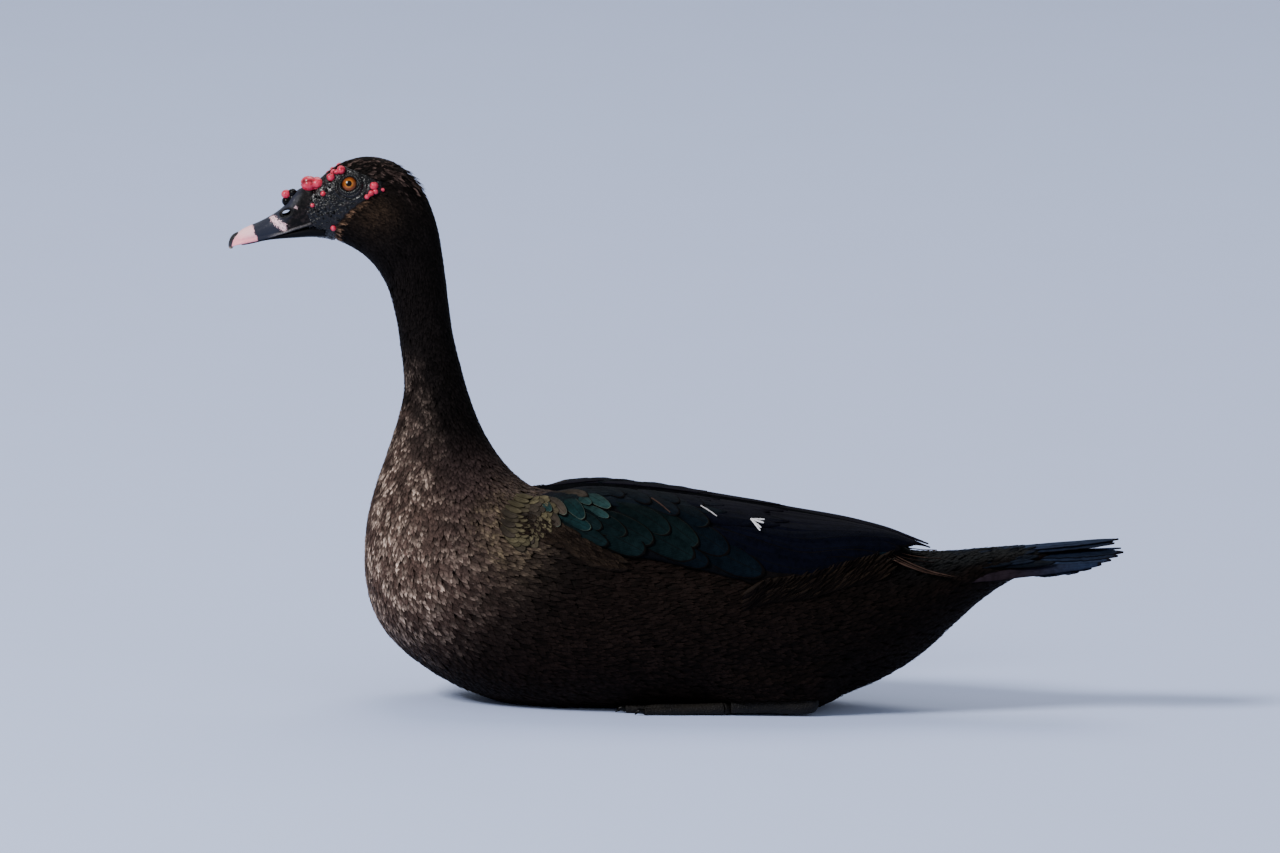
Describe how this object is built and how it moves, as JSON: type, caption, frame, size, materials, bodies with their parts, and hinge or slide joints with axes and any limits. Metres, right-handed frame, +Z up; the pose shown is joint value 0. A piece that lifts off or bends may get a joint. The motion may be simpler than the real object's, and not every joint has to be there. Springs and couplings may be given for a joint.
{
  "type": "muscovy duck",
  "caption": "Life-size muscovy duck resting on its belly with its neck raised, feet tucked under, wings folded and tail level.",
  "frame": {"origin": "on the floor under the middle of the bird's length and width", "axes": "+Z up, -X the way the bird faces, -Y towards its left side"},
  "size_m": [0.6304, 0.161, 0.3799],
  "materials": {
    "plumage": "soft contour feathers",
    "wing_plumage": "glossed green-blue feathers",
    "horn": "satin horn, banded pink and slate",
    "nail": "polished horn",
    "caruncle": "moist bare skin",
    "eye": "wet and clear",
    "foot_skin": "scaled skin"
  },
  "bodies": {
    "root": {"head": "plumage", "bill_upper": "horn", "bill_lower": "horn", "bill_nail": "nail", "bill_knob": "caruncle", "forehead_caruncle": "caruncle", "eye_left": "eye", "eye_right": "eye", "neck_upper": "plumage", "neck_lower": "plumage", "torso": "plumage", "wing_left": "wing_plumage", "wing_right": "wing_plumage", "rump": "plumage", "tail": "plumage", "leg_left": "foot_skin", "leg_right": "foot_skin", "foot_left": "foot_skin", "foot_right": "foot_skin"}
  },
  "joints": []
}
